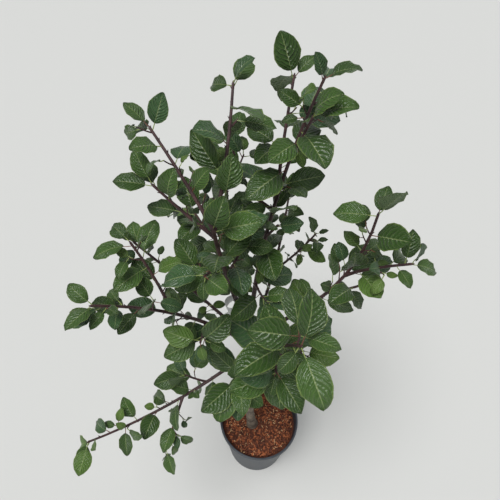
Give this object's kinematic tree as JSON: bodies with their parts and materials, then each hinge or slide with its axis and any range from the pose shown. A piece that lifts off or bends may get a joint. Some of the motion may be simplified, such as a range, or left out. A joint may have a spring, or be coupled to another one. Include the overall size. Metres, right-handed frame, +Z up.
{
  "type": "potted gage plum tree",
  "caption": "Young gage plum tree with a clear stem, open ascending crown and broad leaves, in a round nursery pot with bark compost.",
  "frame": {"origin": "middle of the pot's flat underside", "axes": "+Z up, +Y away from the picture's viewer, +X to that viewer's right"},
  "size_m": [0.7297, 0.5785, 1.4398],
  "materials": {
    "pot_plastic": "moulded, satin",
    "compost": "loose bark chips",
    "trunk_bark": "grey-brown bark",
    "bough_bark": "smooth purple-brown bark",
    "foliage": "leaf, satin above and matt below",
    "label": "blank film"
  },
  "bodies": {
    "root": {"pot": "pot_plastic", "compost": "compost", "trunk": "trunk_bark", "bough_right_leader": "bough_bark", "bough_left_leader": "bough_bark", "bough_right": "bough_bark", "bough_left_upper": "bough_bark", "bough_left_middle": "bough_bark", "bough_low_left": "bough_bark", "bough_front": "bough_bark", "bough_back_left": "bough_bark", "bough_back_right": "bough_bark", "bough_low_front": "bough_bark", "bough_low_right": "bough_bark", "foliage_right_leader": "foliage", "foliage_left_leader": "foliage", "foliage_right": "foliage", "foliage_left_upper": "foliage", "foliage_left_middle": "foliage", "foliage_low_left": "foliage", "foliage_front": "foliage", "foliage_back_left": "foliage", "foliage_back_right": "foliage", "foliage_low_front": "foliage", "foliage_low_right": "foliage", "plant_label": "label"}
  },
  "joints": []
}
